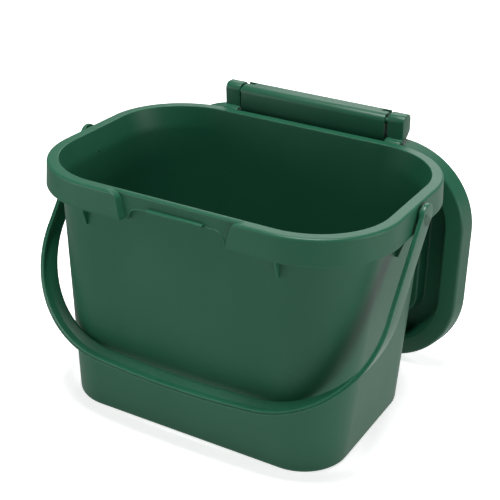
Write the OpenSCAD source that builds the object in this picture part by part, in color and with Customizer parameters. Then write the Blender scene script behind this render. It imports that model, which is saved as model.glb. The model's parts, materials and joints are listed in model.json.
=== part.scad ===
// Compost caddy with a hinged lid and a swinging handle.
// X runs to the right, Y to the back and Z up. The origin is the middle of the rim, at the height
// of the underside. The lid is drawn open, hanging behind the body, and the handle is drawn down.

/* [Rim and skirt] */
// Width over the rim
rim_w = 250; // [244:1:256]
// Depth over the rim
rim_d = 174.5; // [171:0.5:178]
// Corner radius of the rim, in plan
rim_r = 58.9; // [54:0.1:63]
// Width of the flat top of the rim
rim_land = 7.9; // [7:0.1:9]
// Height of the rim above the underside
rim_h = 175.4; // [168:0.2:184]
// Thickness of the rim's top
rim_t = 2.2; // [1.8:0.1:2.8]
// Height of the skirt that hangs from the rim
skirt_h = 17.8; // [16:0.2:20]
// Outward lean of the skirt over its height
skirt_lean = 1.04; // [0.4:0.02:1.4]
// Rounding along the rim's outer edge
rim_round = 1.8; // [1:0.1:2.4]

/* [Bucket] */
// Width of the underside
base_w = 208; // [196:1:218]
// Depth of the underside
base_d = 140; // [132:0.5:146]
// Corner radius of the underside, in plan
base_r = 33; // [26:0.5:40]
// How far the underside sits ahead of the rim's middle
base_ahead = 1.4; // [0:0.1:3]
// Width over the walls at the skirt's lower edge
neck_w = 230; // [226:0.5:233]
// Depth over the walls at the skirt's lower edge
neck_d = 160.6; // [157:0.1:163]
// Corner radius of the walls at the skirt's lower edge
neck_r = 52; // [47:0.5:55]
// Wall thickness
wall = 2.2; // [1.8:0.1:2.8]
// Floor thickness
floor_t = 2.5; // [2:0.1:3.5]
// Rounding along the outside of the underside
foot_round = 3; // [2:0.1:5]
// Rounding between the inside walls and the floor
floor_round = 6; // [4:0.5:10]

/* [Front notch] */
// Width of the notch in the skirt, between the middles of its curved ends
notch_w = 80; // [70:1:92]
// Width of each curved end of the notch
notch_end = 9; // [6:0.5:12]
// Depth of the notch, from the rim's outer edge
notch_depth = 4.3; // [3.4:0.1:5]
// Width of the notch's panel between its two arched corners
arch_w = 54; // [46:1:60]
// Height of the arched opening under the panel
arch_h = 8.2; // [6:0.2:10]
// Width of the ledge
ledge_w = 40.6; // [30:0.2:46]
// Reach of the ledge in front of the panel
ledge_reach = 2.6; // [1.6:0.1:3]
// Thickness of the ledge
ledge_t = 2; // [1.6:0.1:2.4]

/* [Ribs under the skirt] */
// Thickness of each rib
rib_t = 1.5; // [1.2:0.1:2]
// Drop of each rib below the skirt
rib_drop = 10; // [6:0.5:14]
// Distance of the front and rear ribs from the middle
rib_x = 69; // [60:1:72]
// Distance of the side ribs from the middle
rib_y = 31; // [26:0.5:34]

/* [Hinge] */
// Depth of the hinge axis behind the rim's outer edge
axis_back = 12.45; // [12:0.05:13.5]
// Height of the hinge axis above the rim
axis_rise = 10.1; // [9.8:0.1:11]
// Radius of the hinge barrel
barrel_r = 4.8; // [4.4:0.1:5]
// Radius of the hinge pins
pin_r = 2.25; // [1.8:0.05:2.6]
// Length of each pin beyond its lug
pin_l = 8; // [6:0.5:10]
// Radial clearance of each pin and stud in its bore
run_clear = 0.05; // [0.03:0.01:0.1]
// Distance between the outer faces of the two lugs
lug_span = 143.2; // [140:0.2:148]
// Width of each lug
lug_w = 12.1; // [10:0.1:13]
// Thickness of each lug's walls
lug_t = 2.2; // [1.8:0.1:2.6]
// Reach of each lug behind the hinge axis
lug_back = 9.6; // [8:0.1:10]
// Distance from the hinge axis to the lid's rear edge
lid_setback = 14; // [13.6:0.1:15]
// Clearance between each lug and the lid's rear edge as it swings past
lug_clear = 1.2; // [0.6:0.1:1.6]
// Gap between each lug and the end of the lid's bar
lug_gap = 1.9; // [1:0.1:2.5]

/* [Lid] */
// Width over the lid's lower edge
lid_w = 250.4; // [246:0.2:252]
// Depth over the lid's lower edge
lid_d = 171; // [168:0.5:171.4]
// Corner radius of the lid's lower edge
lid_r = 58.5; // [54:0.5:62]
// Height of the lid's skirt
lid_h = 14.2; // [13:0.1:15]
// Inward lean of the lid's skirt, on each side
lid_lean = 2.2; // [1.4:0.1:3]
// Wall thickness of the lid
lid_t = 2.2; // [1.8:0.1:2.6]
// Rounding along the lid's top edge
lid_round = 2; // [1:0.1:3]
// Gap between the closed lid and the rim
lid_seat = 0.4; // [0.3:0.05:0.8]
// Width of the flat margin around the recess
margin_w = 13; // [12:0.2:15]
// Depth of the recess below the margin
recess_depth = 13.8; // [12.8:0.1:14.6]
// Inward lean of the recess wall
recess_lean = 2; // [1:0.1:3]
// Width of the raised middle at its foot
plate_w = 188; // [170:1:194]
// Depth of the raised middle at its foot
plate_d = 98; // [80:1:106]
// Corner radius of the raised middle at its foot
plate_r = 18; // [12:0.5:26]
// Height of the raised middle above the recess floor
plate_h = 10.8; // [8:0.1:12]
// Lean of the raised middle's wall
plate_lean = 1.5; // [0.8:0.1:2.5]
// Rounding along the edges of the recess and the raised middle
press_round = 1.5; // [0.8:0.1:2]
// Width of the tongue at the lid's front
tongue_w = 36; // [28:1:39]
// Thickness of the tongue
tongue_t = 1.7; // [1.4:0.1:1.9]
// Length of each end of the bar, round the pin's bore
bar_gap_l = 10; // [8:0.5:14]
// Height cut from under each end of the bar
bar_gap_d = 5; // [3:0.2:5.4]

/* [Handle] */
// Depth of the handle's pivot behind the rim's middle
pivot_y = 1.9; // [-4:0.1:6]
// Depth of the handle's pivot below the rim
pivot_drop = 7.9; // [7.6:0.1:8.4]
// Gap between each arm and the skirt's lower edge
arm_gap = 1.2; // [0.8:0.02:2]
// Thickness of the handle band
band_t = 3; // [2.4:0.1:3.6]
// Width of the handle band
band_w = 14.4; // [13:0.1:16]
// Slant of the band at the middle of the grip; the arms have none
band_slant = 37; // [20:1:45]
// Blunting of the band's four edges
band_blunt = 0.8; // [0.4:0.1:1.1]
// Width of the bead along the inside of the band's front edge
bead_w = 1.6; // [1.4:0.1:2.4]
// Width of the valley and the bead together
valley_w = 9; // [6:0.2:11]
// Depth of the valley behind the bead
valley_depth = 1.1; // [0.5:0.1:1.4]
// Reach of the handle from its pivot to the inside of the grip
reach = 145; // [140:0.2:156]
// Radius of the handle's two corners
bend_r = 75; // [68:1:84]
// Radius of the slight bow along the grip
bow_r = 690; // [450:10:900]
// Radius of the rounded arm ends
arm_end_r = 7.8; // [7:0.1:8]
// Radius of each stud
stud_r = 4; // [3:0.1:4.4]
// Height of each stud's head over the stud
head_lip = 0.9; // [0.6:0.1:1.2]
// Thickness of each stud's head
head_t = 1.4; // [1:0.1:1.6]
// Radius of each stud's collar
collar_r = 6.2; // [5.4:0.1:6.6]
// Thickness of the skirt's wall together with the pad that backs each stud's bore
pad_t = 4.3; // [4:0.1:4.5]
// Radius of the pad behind each stud's bore
pad_r = 7; // [6.4:0.1:7.2]
// Play between parts that pass or rest close together
play = 0.3; // [0.2:0.05:0.4]

/* [Hidden] */
$fn = 64;
CORNER_STEPS = 12;
ROUND_STEPS = 3;
NOTCH_STEPS = 8;
BEND_STEPS = 14;
BOW_STEPS = 6;
// Overshoot of a cut past the face that it opens.
CUT_OVER = 1;
GREEN = "#2f6a4c";
DEEP_GREEN = "#2a6146";
BRIGHT_GREEN = "#34704f";

// The walls lean evenly from the underside to the skirt's lower edge.
neck_z = rim_h - skirt_h;
skirt_w = rim_w + 2 * skirt_lean;
skirt_d = rim_d + 2 * skirt_lean;
front_lean = (neck_d / 2 - base_d / 2 - base_ahead) / neck_z;

// The hinge axis is the same line in the body and in the lid.
axis_y = rim_d / 2 + axis_back;
axis_z = rim_h + axis_rise;
lug_in = lug_span / 2 - lug_w;
bar_half = lug_in - lug_gap;

// The closed lid's rear edge clears the lugs, and its top is flush with the barrel.
lid_z = rim_h + lid_seat;
lid_top = lid_z + lid_h;
lid_rear = axis_y - lid_setback;
lid_y = lid_rear - lid_d / 2;
hang_front = axis_y + axis_z - lid_top;
hang_top = axis_z - lid_setback;
lug_under = hang_top + lug_clear;

// The panel of the notch and the ledge lie one behind the other.
panel_y = rim_d / 2 - notch_depth;
ledge_z = neck_z + arch_h;

// The heads of the studs lie against the inner faces of the pads.
pad_x = skirt_w / 2 - pad_t;

// Each arm runs into a bend, and the two bends into the bow of the grip.
pivot_z = rim_h - pivot_drop;
arm_x = skirt_w / 2 + arm_gap;
bend_x = arm_x - bend_r;
bend_s = reach - bow_r + sqrt(pow(bow_r - bend_r, 2) - pow(bend_x, 2));
bow_angle = asin(bend_x / (bow_r - bend_r));

// The handle rests where the rear edge of its grip meets the ends of the flat front wall.
touch_turn = asin((base_w / 2 - base_r - bend_x) / bend_r);
touch_slant = band_slant * cos(touch_turn);
touch_across = band_w / 2 * cos(touch_slant);
touch_s = bend_s + bend_r * cos(touch_turn) - band_w / 2 * sin(touch_slant);
rest_arm = pivot_y + base_d / 2 + base_ahead + front_lean * pivot_z + play;
rest_reach = hypotenuse(touch_s, touch_across) * hypotenuse(1, front_lean);
handle_tilt = asin(rest_arm / rest_reach) - atan(front_lean) + atan2(touch_across, touch_s);

function hypotenuse(a, b) = sqrt(a * a + b * b);

// A section is [width, depth, corner radius, middle in Y, height].
function grown(section, by, z) =
    [section[0] + 2 * by, section[1] + 2 * by, section[2] + by, section[3], z];

function blended(low, high, part) = low + (high - low) * part;

// Points round one section, counter-clockwise from above.
function ring(section) = [
    for (quarter = [0:3])
        let (
            side_x = quarter == 0 || quarter == 3 ? 1 : -1,
            side_y = quarter < 2 ? 1 : -1
        )
        for (step = [0:CORNER_STEPS])
            let (turn = 90 * (quarter + step / CORNER_STEPS))
            [
                side_x * (section[0] / 2 - section[2]) + section[2] * cos(turn),
                section[3] + side_y * (section[1] / 2 - section[2]) + section[2] * sin(turn),
                section[4]
            ]
];

// Two triangles for each side of a grid of rings, all wound alike.
function ring_faces(rings, count) = [
    for (level = [0:rings - 2], at = [0:count - 1])
        let (
            next = (at + 1) % count,
            low = level * count,
            high = low + count
        )
        each [[low + at, high + at, high + next], [low + at, high + next, low + next]]
];

// A closed solid whose skin passes through all the sections in turn.
module loft(sections) {
    count = 4 * (CORNER_STEPS + 1);
    points = [for (section = sections) each ring(section)];
    first = [for (at = [0:count - 1]) at];
    last = [for (at = [count - 1:-1:0]) (len(sections) - 1) * count + at];
    polyhedron(points, concat([first], ring_faces(len(sections), count), [last]), convexity = 8);
}

// Outline of the walls at a height below the skirt's lower edge.
function wall_section(z) =
    blended([base_w, base_d, base_r, -base_ahead, 0], [neck_w, neck_d, neck_r, 0, neck_z], z / neck_z);

function skirt_section(z) =
    let (lean = skirt_lean * min(1, (rim_h - z) / skirt_h))
    grown([rim_w, rim_d, rim_r, 0, 0], lean, z);

function opening_section(grow, z) = grown([rim_w, rim_d, rim_r, 0, 0], grow - rim_land, z);

// The walls spread smoothly from the neck to the rim's opening.
function flare_section(grow, part) =
    let (
        ease = (1 - cos(180 * part)) / 2,
        z = neck_z + (skirt_h - rim_t) * part
    )
    blended(grown(wall_section(neck_z), grow - wall, z), opening_section(grow, z), ease);

module bucket() {
    edge = 90 / ROUND_STEPS;
    loft(concat(
        [for (step = [0:ROUND_STEPS])
            let (z = foot_round * (1 - cos(edge * step)))
            grown(wall_section(z), foot_round * (sin(edge * step) - 1), z)],
        [for (part = [0:0.25:1]) flare_section(wall, part)],
        [grown(skirt_section(rim_h - rim_t), -wall, rim_h - rim_t)],
        [grown(skirt_section(neck_z), -wall, neck_z), skirt_section(neck_z)],
        [for (step = [0:ROUND_STEPS])
            let (z = rim_h - rim_round * (1 - sin(edge * step)))
            grown(skirt_section(z), rim_round * (cos(edge * step) - 1), z)],
        [opening_section(rim_t / 3, rim_h), opening_section(0, rim_h - rim_t / 3)],
        [for (part = [1:-0.25:0]) flare_section(0, part)],
        [for (step = [0:ROUND_STEPS])
            let (z = floor_t + floor_round * (1 - sin(edge * step)))
            grown(wall_section(z), floor_round * (cos(edge * step) - 1) - wall, z)]
    ));
}

// The notch's line in plan, from the skirt's face back to the panel and out again.
function notch_line(in_by) = [
    for (side = [-1, 1], step = [0:NOTCH_STEPS])
        let (
            part = side < 0 ? step / NOTCH_STEPS : 1 - step / NOTCH_STEPS,
            x = notch_w / 2 + notch_end * (0.5 - part) + in_by * sin(180 * part),
            y = rim_d / 2 + skirt_lean - (notch_depth + skirt_lean) * (1 - cos(180 * part)) / 2
        )
        [side * x, in_by - y]
];

function reversed(list) = [for (at = [len(list) - 1:-1:0]) list[at]];

module notch_cut() {
    half = (notch_w + notch_end) / 2;
    translate([0, 0, neck_z - wall])
        linear_extrude(skirt_h + 2 * wall)
            polygon(concat([[-half, -skirt_d]], notch_line(0), [[half, -skirt_d]]));
}

// The skirt's wall steps back along the notch, arched over the middle.
module notch_wall() {
    difference() {
        translate([0, 0, neck_z])
            linear_extrude(skirt_h - rim_round)
                polygon(concat(notch_line(0), reversed(notch_line(wall))));
        arch_opening();
    }
}

module arch_opening() {
    translate([0, -panel_y + 2 * wall, neck_z])
        rotate([90, 0, 0])
            linear_extrude(4 * wall) {
                translate([-arch_w / 2, -arch_h])
                    square([arch_w, 2 * arch_h]);
                for (side = [-1, 1])
                    translate([side * arch_w / 2, 0])
                        circle(arch_h);
            }
}

module ledge() {
    tip = ledge_t / 2;
    translate([-ledge_w / 2, -panel_y - ledge_reach + tip, ledge_z])
        cube([ledge_w, ledge_reach - tip + wall, ledge_t]);
    translate([-ledge_w / 2, -panel_y - ledge_reach + tip, ledge_z + tip])
        rotate([0, 90, 0])
            cylinder(r = tip, h = ledge_w);
}

// One rib in the corner between a wall and the skirt's lower edge, [out, up] from the wall.
module rib(wall_out, skirt_out) {
    foot = wall_out - wall / 2;
    translate([0, rib_t / 2, 0])
        rotate([90, 0, 0])
            linear_extrude(rib_t)
                polygon([
                    [foot - rib_drop * front_lean, neck_z - rib_drop],
                    [wall_out - rib_drop * front_lean, neck_z - rib_drop],
                    [skirt_out - wall / 2, neck_z],
                    [skirt_out - wall / 2, neck_z + wall],
                    [foot, neck_z + wall]
                ]);
}

module ribs() {
    for (side = [-1, 1], end = [-1, 1]) {
        translate([side * rib_x, 0, 0])
            rotate([0, 0, end * 90])
                rib(neck_d / 2, skirt_d / 2);
        translate([0, end * rib_y, 0])
            rotate([0, 0, side > 0 ? 0 : 180])
                rib(neck_w / 2, skirt_w / 2);
    }
}

// Side view of a lug, in [Y, Z]: its head, and the arm that carries it from the skirt. The arm
// stays ahead of the hanging lid, which rests against its rear face.
module lug_side() {
    root = rim_d / 2 - wall / 2;
    arm_rear = hang_front - play;
    arm_top = rim_h - play;
    translate([axis_y, axis_z])
        circle(barrel_r);
    polygon([
        [root, neck_z + wall],
        [arm_rear, neck_z + wall],
        [arm_rear, hang_top + play],
        [axis_y, lug_under],
        [axis_y + lug_back - lug_t, lug_under + 2 * lug_t],
        [axis_y + lug_back, axis_z + barrel_r - lug_t / 2],
        [axis_y, axis_z + barrel_r],
        [axis_y - barrel_r / 2, axis_z - barrel_r],
        [axis_y - lug_t, arm_top + lug_t],
        [arm_rear, arm_top],
        [root, arm_top]
    ]);
}

// The hollow of a lug, open towards the front under its nose.
module lug_hollow() {
    nose = axis_z - barrel_r;
    floor_z = lug_under + lug_t;
    polygon([
        [axis_y - barrel_r, nose],
        [axis_y + lug_back - 1.5 * lug_t, nose],
        [axis_y + lug_back - 2 * lug_t, floor_z + 2 * lug_t],
        [axis_y, floor_z],
        [axis_y - barrel_r, floor_z]
    ]);
}

// Stands a side view in [Y, Z] up and gives it a thickness along X.
module along_x(from, width) {
    translate([from, 0, 0])
        rotate([90, 0, 90])
            linear_extrude(width)
                children();
}

module lug() {
    inside_w = lug_w - 2 * lug_t;
    difference() {
        along_x(lug_in, lug_w)
            lug_side();
        along_x(lug_in + lug_t, inside_w)
            lug_hollow();
        translate([lug_in + lug_t, rim_d / 2 + skirt_lean, neck_z])
            cube([inside_w, axis_back, skirt_h - rim_t]);
    }
    translate([lug_in - pin_l, axis_y, axis_z])
        rotate([0, 90, 0])
            cylinder(r = pin_r, h = pin_l + lug_t);
}

// A pad thickens each side of the skirt on the inside, round the bore for the handle's stud.
module on_pivots(from) {
    for (side = [-1, 1])
        translate([side * from, pivot_y, pivot_z])
            rotate([0, side * 90, 0])
                children();
}

module pivot_pads() {
    on_pivots(pad_x)
        cylinder(r = pad_r, h = pad_t - wall);
}

module pivot_bores() {
    on_pivots(pad_x - play)
        cylinder(r = stud_r + run_clear, h = skirt_w / 2 + rim_round - pad_x);
}

module body() {
    color(GREEN) {
        difference() {
            union() {
                difference() {
                    bucket();
                    notch_cut();
                }
                notch_wall();
                ledge();
                ribs();
                pivot_pads();
            }
            pivot_bores();
        }
        lug();
        mirror([1, 0, 0])
            lug();
    }
}

// Outlines of the lid, closed, with the height measured down from its top.
function lid_section(down) =
    let (lean = lid_lean * (down / lid_h - 1))
    grown([lid_w, lid_d, lid_r, lid_y, 0], lean, lid_top - down);

function recess_section(grow, down) =
    let (lean = -margin_w - recess_lean * down / recess_depth)
    grown(lid_section(0), lean + grow, lid_top - down);

function plate_section(grow, up) =
    let (lean = -plate_lean * up / plate_h)
    grown([plate_w, plate_d, plate_r, lid_y, 0], lean + grow, lid_top - recess_depth + up);

module lid_shell() {
    edge = 90 / ROUND_STEPS;
    half = press_round / 2;
    loft([
        plate_section(-lid_t, plate_h - lid_t),
        plate_section(-lid_t, -lid_t),
        recess_section(0, recess_depth + lid_t),
        recess_section(lid_t, recess_depth),
        recess_section(lid_t, lid_t),
        grown(lid_section(lid_t), -lid_t, lid_top - lid_t),
        grown(lid_section(lid_h), -lid_t, lid_z),
        lid_section(lid_h),
        for (step = [ROUND_STEPS:-1:0])
            let (down = lid_round * (1 - cos(edge * step)))
            grown(lid_section(down), lid_round * (sin(edge * step) - 1), lid_top - down),
        recess_section(half, 0),
        recess_section(0, half),
        recess_section(0, recess_depth - half),
        recess_section(-half, recess_depth),
        plate_section(half, 0),
        plate_section(0, half),
        plate_section(0, plate_h - press_round),
        plate_section(-press_round / 4, plate_h - press_round / 4),
        plate_section(-press_round, plate_h)
    ]);
}

// The hollow bar behind the lid that turns on the pins, flush with the lid's top.
module bar() {
    rear = axis_y + barrel_r;
    front = lid_rear - lid_lean - lid_t;
    difference() {
        along_x(-bar_half, 2 * bar_half)
            union() {
                translate([axis_y, axis_z])
                    circle(barrel_r);
                translate([front, lid_z])
                    square([axis_y - front, lid_h]);
                translate([axis_y, lid_z])
                    square([barrel_r, axis_z - lid_z]);
            }
        along_x(-bar_half + bar_gap_l, 2 * (bar_half - bar_gap_l))
            translate([lid_rear - lid_t / 2, lid_z - CUT_OVER])
                square([rear - lid_rear - lid_t / 2, lid_h - lid_t + CUT_OVER]);
        for (side = [-1, 1])
            along_x(side * (bar_half - bar_gap_l / 2) - bar_gap_l / 2, bar_gap_l)
                bar_end_hollow();
        translate([-lug_span, axis_y, axis_z])
            rotate([0, 90, 0])
                cylinder(r = pin_r + run_clear, h = 2 * lug_span);
    }
}

// What is cut from under each end of the bar, clear of the bore.
module bar_end_hollow() {
    translate([lid_rear - lid_t / 2, lid_z - CUT_OVER])
        square([axis_y - barrel_r - lid_rear - lid_t / 2, lid_h - lid_t + CUT_OVER]);
    translate([axis_y - 2 * barrel_r, lid_z - CUT_OVER])
        square([4 * barrel_r, bar_gap_d + CUT_OVER]);
}

module tongue() {
    face = lid_rear - lid_d + play;
    foot = ledge_z + ledge_t + lid_seat;
    translate([-tongue_w / 2, face, foot])
        cube([tongue_w, tongue_t, lid_z - foot + lid_t]);
    translate([-tongue_w / 2, face, lid_z])
        cube([tongue_w, lid_t + lid_lean, lid_t]);
}

// Turns what is drawn closed to where it hangs.
module opened() {
    translate([0, axis_y, axis_z])
        rotate([90, 0, 0])
            translate([0, -axis_y, -axis_z])
                children();
}

module lid() {
    color(DEEP_GREEN)
        opened() {
            lid_shell();
            bar();
            tongue();
        }
}

// Inside line of the handle in its own plane, as [x, distance from the pivot, outward way].
function handle_half() = concat(
    [for (part = [0:0.2:0.8]) [arm_x, bend_s * part, 90]],
    [for (step = [0:BEND_STEPS])
        let (turn = 90 - (90 - bow_angle) * step / BEND_STEPS)
        [bend_x + bend_r * sin(turn), bend_s + bend_r * cos(turn), turn]],
    [for (step = [1:BOW_STEPS])
        let (turn = bow_angle * (1 - step / BOW_STEPS))
        [bow_r * sin(turn), reach - bow_r + bow_r * cos(turn), turn]]
);

function handle_line() =
    let (
        right = handle_half(),
        count = len(right)
    )
    concat(
        [for (at = [0:count - 2]) [-right[at][0], right[at][1], -right[at][2]]],
        [for (at = [count - 1:-1:0]) right[at]]
    );

// Section of the band as [across, outward]: blunted edges, and inside a valley behind the bead.
function band_outline() =
    let (edge = band_w / 2)
    [
        [edge - band_blunt, 0],
        [edge, band_blunt],
        [edge, band_t - band_blunt],
        [edge - band_blunt, band_t],
        [band_blunt - edge, band_t],
        [-edge, band_t - band_blunt],
        [-edge, band_blunt],
        [band_blunt - edge, 0],
        [edge - valley_w, 0],
        [edge - 2 * bead_w, valley_depth],
        [edge - bead_w, 0]
    ];

// The band stands square to the handle's plane at the arms and turns to its slant at the grip.
// A ring holds [x, forward, down].
function band_ring(at) =
    let (slant = band_slant * cos(at[2]))
    [
        for (point = band_outline())
            [
                at[0] + point[1] * sin(at[2]),
                point[0] * cos(slant),
                at[1] + point[1] * cos(at[2]) + point[0] * sin(slant)
            ]
    ];

module band() {
    line = handle_line();
    count = len(band_outline());
    points = [for (at = line) each [for (point = band_ring(at)) [point[0], -point[1], -point[2]]]];
    first = [for (at = [0:count - 1]) at];
    last = [for (at = [count - 1:-1:0]) (len(line) - 1) * count + at];
    polyhedron(points, concat([first], ring_faces(len(line), count), [last]), convexity = 6);
}

// One stud with its collar, and its head behind the skirt's pad.
module stud() {
    skirt_x = skirt_section(pivot_z - collar_r)[0] / 2;
    head_x = pad_x - play - head_t;
    rotate([0, 90, 0]) {
        translate([0, 0, arm_x])
            cylinder(r = arm_end_r, h = band_t);
        translate([0, 0, skirt_x + play])
            cylinder(r = collar_r, h = arm_x - skirt_x);
        translate([0, 0, head_x])
            cylinder(r = stud_r, h = arm_x + band_t / 2 - head_x);
        translate([0, 0, head_x])
            cylinder(r1 = stud_r, r2 = stud_r + head_lip, h = head_t);
    }
}

module handle() {
    color(BRIGHT_GREEN)
        translate([0, pivot_y, pivot_z])
            rotate([-handle_tilt, 0, 0]) {
                band();
                stud();
                mirror([1, 0, 0])
                    stud();
            }
}

body();
lid();
handle();
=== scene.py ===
"""Compost caddy with a hinged lid and a swinging handle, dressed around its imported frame.

Every length is in metres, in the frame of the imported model: X to the right, Y to the back where
the lid is hinged, Z up from the underside.
"""

import json
import logging
import math
from dataclasses import dataclass, field
from enum import Enum
from functools import cached_property
from typing import Any, Iterable, Sequence

import bmesh
import bpy
from mathutils import Matrix, Vector


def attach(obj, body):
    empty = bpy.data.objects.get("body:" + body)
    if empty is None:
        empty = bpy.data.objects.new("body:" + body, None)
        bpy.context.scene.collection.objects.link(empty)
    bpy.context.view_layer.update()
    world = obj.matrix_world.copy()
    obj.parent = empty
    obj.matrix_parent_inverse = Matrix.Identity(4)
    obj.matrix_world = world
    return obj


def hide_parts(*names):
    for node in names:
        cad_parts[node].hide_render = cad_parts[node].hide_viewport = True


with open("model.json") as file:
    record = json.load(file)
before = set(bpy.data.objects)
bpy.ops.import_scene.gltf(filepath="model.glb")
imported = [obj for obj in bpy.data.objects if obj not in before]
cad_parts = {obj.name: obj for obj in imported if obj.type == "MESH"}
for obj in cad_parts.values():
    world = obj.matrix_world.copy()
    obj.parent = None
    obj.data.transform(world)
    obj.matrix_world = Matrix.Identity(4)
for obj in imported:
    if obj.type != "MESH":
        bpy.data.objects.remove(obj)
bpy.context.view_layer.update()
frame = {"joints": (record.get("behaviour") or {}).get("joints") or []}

MM = 0.001
CORNER_STEPS = 30
FILLET_STEPS = 5
SKIRT_STEPS = 18
TURN_SEGMENTS = 48
BEAD_SEGMENTS = 12
SMOOTH_ANGLE = math.radians(38)
SOFT_ANGLE = math.radians(50)
CORNER_SHARE = 0.49  # the most of a side that the rounding of one corner takes
PAST = 1 * MM  # how far a cutter reaches past what it cuts
WHITE = (1, 1, 1, 1)
LOG = logging.getLogger("caddy")

Path2 = list[tuple[float, float]]
Ring = list[Vector]
Socket = bpy.types.NodeSocket


class Piece(Enum):
    """The three mouldings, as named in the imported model."""

    BODY = "body"
    LID = "lid"
    HANDLE = "handle"

    @property
    def slot(self) -> str:
        """A name of the form <moulding>_plastic; nothing in the script reads it, and no material slot
        takes it.
        """
        return f"{self.value}_plastic"


# ---------------------------------------------------------------- outlines and meshes


def quarter_turn(steps: int) -> list[float]:
    """Returns the angles from 0 to a quarter turn, in equal steps."""
    return [math.pi / 2 * step / steps for step in range(steps + 1)]


def full_turn(count: int) -> list[float]:
    """Returns the angles of points spaced evenly round a circle."""
    return [2 * math.pi * at / count for at in range(count)]


@dataclass(frozen=True)
class Section:
    """A rounded rectangle lying level, centred on X = 0.

    Args:
        width: Size along X.
        depth: Size along Y.
        radius: Corner radius.
        middle: Y of its middle.
    """

    width: float
    depth: float
    radius: float
    middle: float = 0.0

    def grown(self, by: float) -> "Section":
        """Returns the section with its outline moved outwards."""
        return Section(self.width + 2 * by, self.depth + 2 * by, self.radius + by, self.middle)

    def blended(self, other: "Section", part: float) -> "Section":
        """Returns the section that lies part of the way to another one."""
        return Section(*(a + (b - a) * part for a, b in zip(self.values(), other.values())))

    def values(self) -> tuple[float, float, float, float]:
        """Returns width, depth, radius and middle."""
        return self.width, self.depth, self.radius, self.middle

    def ring(self, height: float, front: Sequence[float] = ()) -> Ring:
        """Points round the section, counter-clockwise from above.

        Args:
            height: Z of the ring.
            front: X of further points along the front side, from left to right.

        Returns:
            The points, from the right side on.
        """
        points: Ring = []
        for corner in range(4):
            side_x = 1 if corner in (0, 3) else -1
            side_y = 1 if corner < 2 else -1
            for turn in quarter_turn(CORNER_STEPS):
                turn += corner * math.pi / 2
                x = side_x * (self.width / 2 - self.radius) + self.radius * math.cos(turn)
                y = side_y * (self.depth / 2 - self.radius) + self.radius * math.sin(turn)
                points.append(Vector((x, self.middle + y, height)))
            if corner == 2:
                y = self.middle - self.depth / 2
                points += [Vector((x, y, height)) for x in front]
        return points


def rounded_path(corners: Sequence[tuple[float, float, float]], closed: bool = False) -> Path2:
    """Rounds the corners of a path in a plane.

    Args:
        corners: Each corner as its two coordinates and its radius.
        closed: Whether the last corner joins the first.

    Returns:
        The points of the path.
    """
    count = len(corners)
    path: Path2 = []
    for at, (u, v, radius) in enumerate(corners):
        here = Vector((u, v))
        if radius <= 0 or (not closed and at in (0, count - 1)):
            path.append((u, v))
            continue
        before = Vector(corners[at - 1][:2]) - here
        after = Vector(corners[(at + 1) % count][:2]) - here
        half = before.angle(after) / 2
        most = min(before.length, after.length) * CORNER_SHARE
        reach = min(radius / math.tan(half), most)
        before.normalize()
        after.normalize()
        centre = here + (before + after).normalized() * reach / math.cos(half)
        start, end = here + before * reach - centre, here + after * reach - centre
        sweep = math.atan2(start.x * end.y - start.y * end.x, start.dot(end))
        for step in range(FILLET_STEPS + 1):
            path.append(tuple(centre + Matrix.Rotation(sweep * step / FILLET_STEPS, 2) @ start))
    return path


def arc(u: float, v: float, radius: float, first: float, last: float, steps: int = 16) -> Path2:
    """Returns points along an arc, with its angles in degrees."""
    turns = [math.radians(first + (last - first) * step / steps) for step in range(steps + 1)]
    return [(u + radius * math.cos(turn), v + radius * math.sin(turn)) for turn in turns]


def shaded(mesh: bpy.types.Mesh) -> bpy.types.Mesh:
    """Shades a mesh smooth across all but its sharp edges.

    Args:
        mesh: The mesh.

    Returns:
        The same mesh.
    """
    mesh.polygons.foreach_set("use_smooth", [True] * len(mesh.polygons))
    mesh.set_sharp_from_angle(angle=SMOOTH_ANGLE)
    mesh.update()
    return mesh


def new_object(name: str, data: bpy.types.ID) -> bpy.types.Object:
    """Links a new object to the scene.

    Args:
        name: Name of the object.
        data: The mesh, curve, lamp or camera that it holds.

    Returns:
        The new object.
    """
    made = bpy.data.objects.new(name, data)
    bpy.context.scene.collection.objects.link(made)
    return made


def from_bmesh(name: str, solid: bmesh.types.BMesh) -> bpy.types.Object:
    """Makes an object of an edited mesh, and frees that mesh.

    Args:
        name: Name of the object.
        solid: The edited mesh.

    Returns:
        The new object.
    """
    mesh = bpy.data.meshes.new(name)
    solid.to_mesh(mesh)
    solid.free()
    return new_object(name, shaded(mesh))


def loft(name: str, rings: Sequence[Ring]) -> bpy.types.Object:
    """Makes a closed solid whose skin passes through rings of equally many points.

    Args:
        name: Name of the object.
        rings: The rings; its first and its last one are closed by flat caps.

    Returns:
        The new object.
    """
    count = len(rings[0])
    points = [point for each in rings for point in each]
    faces = [tuple(range(count - 1, -1, -1))]
    for low in range(0, len(points) - count, count):
        for at in range(count):
            after = (at + 1) % count
            faces.append((low + at, low + after, low + count + after, low + count + at))
    faces.append(tuple(range(len(points) - count, len(points))))
    mesh = bpy.data.meshes.new(name)
    mesh.from_pydata(points, [], faces)
    return new_object(name, shaded(mesh))


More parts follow.
